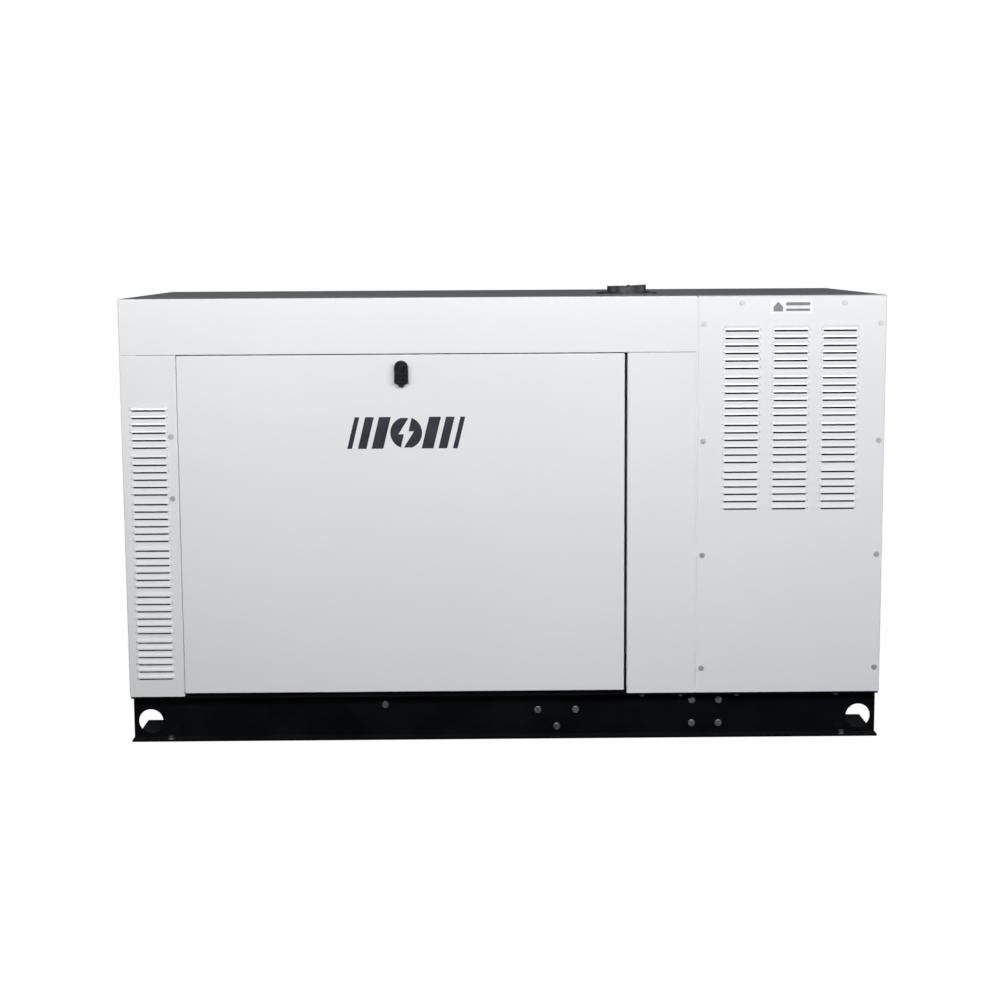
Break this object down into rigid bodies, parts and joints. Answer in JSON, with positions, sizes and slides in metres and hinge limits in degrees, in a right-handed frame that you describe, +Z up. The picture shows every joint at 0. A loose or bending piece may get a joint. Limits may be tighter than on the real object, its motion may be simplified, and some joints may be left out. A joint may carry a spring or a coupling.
{
  "type": "home standby generator",
  "caption": "Liquid-cooled home standby generator in a white louvered steel enclosure with a lift-off door, on a black channel base.",
  "frame": {"origin": "centre of the four anchor holes at floor level, under the middle of the base", "axes": "+X along the length towards the discharge end, +Y from the door side to the back, +Z up"},
  "size_m": [1.962, 0.8983, 1.1712],
  "materials": {
    "white_paint": "smooth gloss powder coat",
    "black_paint": "satin powder coat",
    "zinc": "zinc plated",
    "galvanised": "galvanised sheet",
    "black_plastic": "moulded",
    "black_rubber": "matt",
    "foam": "acoustic lining",
    "cast_grey": "painted casting",
    "cast_aluminium": "as cast",
    "hot_steel": "heat-tinted",
    "filter_white": "gloss enamel",
    "stator_paint": "satin enamel",
    "grey_paint": "fine texture",
    "yellow_plastic": "moulded"
  },
  "bodies": {
    "cabinet": {"front_rail": "black_paint", "rear_rail": "black_paint", "base_frame": "black_paint", "base_bolts": "zinc", "left_front_panel": "white_paint", "right_post_panel": "white_paint", "right_front_panel": "white_paint", "rear_left_panel": "white_paint", "rear_right_panel": "white_paint", "rear_service_panel": "white_paint", "cable_entry_plate": "galvanised", "left_end_wall": "white_paint", "right_end_wall": "white_paint", "roof_cover": "white_paint", "inner_frame": "galvanised", "door_seal": "black_rubber", "enclosure_screws": "zinc", "filler_collar": "black_plastic", "engine_block": "cast_grey", "oil_pan": "black_paint", "cylinder_head": "cast_aluminium", "valve_cover": "cast_aluminium", "flywheel_housing": "cast_aluminium", "drive_belt": "black_rubber", "stator": "stator_paint", "end_bell": "cast_aluminium", "isolators": "black_rubber", "engine_mounts": "black_paint", "intake_manifold": "cast_aluminium", "gas_mixer": "cast_aluminium", "air_cleaner": "black_plastic", "exhaust_system": "hot_steel", "oil_filter": "filter_white", "starter_motor": "black_paint", "charging_alternator": "cast_aluminium", "gas_line": "galvanised", "hoses": "black_rubber", "radiator": "cast_aluminium", "fan_shroud": "black_plastic", "battery": "black_plastic", "control_box": "grey_paint", "battery_leads": "black_rubber", "controller": "black_plastic", "main_breaker": "black_plastic"},
    "door": {"front_door": "white_paint", "door_lining": "foam", "latch_body": "black_plastic"},
    "latch": {"latch_handle": "black_plastic"},
    "filler_lid": {"filler_lid": "black_plastic"},
    "crank": {"crank_line": "zinc", "rotor": "stator_paint"},
    "fan": {"cooling_fan": "black_plastic"},
    "charger_shaft": {"charger_pulley": "zinc"},
    "throttle": {"throttle_lever": "zinc"},
    "oil_cap": {"oil_fill_cap": "black_plastic"},
    "dipstick": {"dipstick": "yellow_plastic"},
    "radiator_cap": {"radiator_cap": "zinc"},
    "mode_rocker": {"mode_rocker": "black_plastic"},
    "breaker_toggle": {"breaker_toggle": "black_plastic"}
  },
  "joints": [
    {"name": "door_lift_off", "type": "slide", "parent": "cabinet", "child": "door", "axis": [0, -1, 0], "range_m": [0, 0.7]},
    {"name": "latch_turn", "type": "hinge", "parent": "door", "child": "latch", "pos_m": [-0.26, -0.44, 0.971], "axis": [0, -1, 0], "range_deg": [0, 90]},
    {"name": "filler_lid_hinge", "type": "hinge", "parent": "cabinet", "child": "filler_lid", "pos_m": [0.3413, -0.135, 1.169], "axis": [0, -1, 0], "range_deg": [0, 100]},
    {"name": "crank_spin", "type": "hinge", "parent": "cabinet", "child": "crank", "pos_m": [0, 0, 0.38], "axis": [1, 0, 0], "continuous": true},
    {"name": "fan_spin", "type": "hinge", "parent": "cabinet", "child": "fan", "pos_m": [0, 0, 0.54], "axis": [1, 0, 0], "continuous": true},
    {"name": "charger_spin", "type": "hinge", "parent": "cabinet", "child": "charger_shaft", "pos_m": [0, -0.19, 0.5], "axis": [1, 0, 0], "continuous": true},
    {"name": "throttle_turn", "type": "hinge", "parent": "cabinet", "child": "throttle", "pos_m": [0.049, -0.215, 0.64], "axis": [0, 0, 1], "range_deg": [0, 75]},
    {"name": "oil_cap_turn", "type": "hinge", "parent": "cabinet", "child": "oil_cap", "pos_m": [-0.02, 0, 0.76], "axis": [0, 0, 1], "range_deg": [0, 90]},
    {"name": "dipstick_pull", "type": "slide", "parent": "cabinet", "child": "dipstick", "axis": [0, 0, 1], "range_m": [0, 0.3]},
    {"name": "radiator_cap_turn", "type": "hinge", "parent": "cabinet", "child": "radiator_cap", "pos_m": [0.335, -0.135, 1.06], "axis": [0, 0, 1], "range_deg": [0, 90]},
    {"name": "mode_rocker_tilt", "type": "hinge", "parent": "cabinet", "child": "mode_rocker", "pos_m": [-0.58, -0.354, 0.89], "axis": [1, 0, 0], "range_deg": [-8, 8]},
    {"name": "breaker_switch", "type": "hinge", "parent": "cabinet", "child": "breaker_toggle", "pos_m": [-0.58, -0.364, 0.73], "axis": [1, 0, 0], "range_deg": [0, 35]}
  ],
  "couplings": [
    {"joint": "fan_spin", "follows": "crank_spin", "ratio": 1.25},
    {"joint": "charger_spin", "follows": "crank_spin", "ratio": 2.1429}
  ]
}
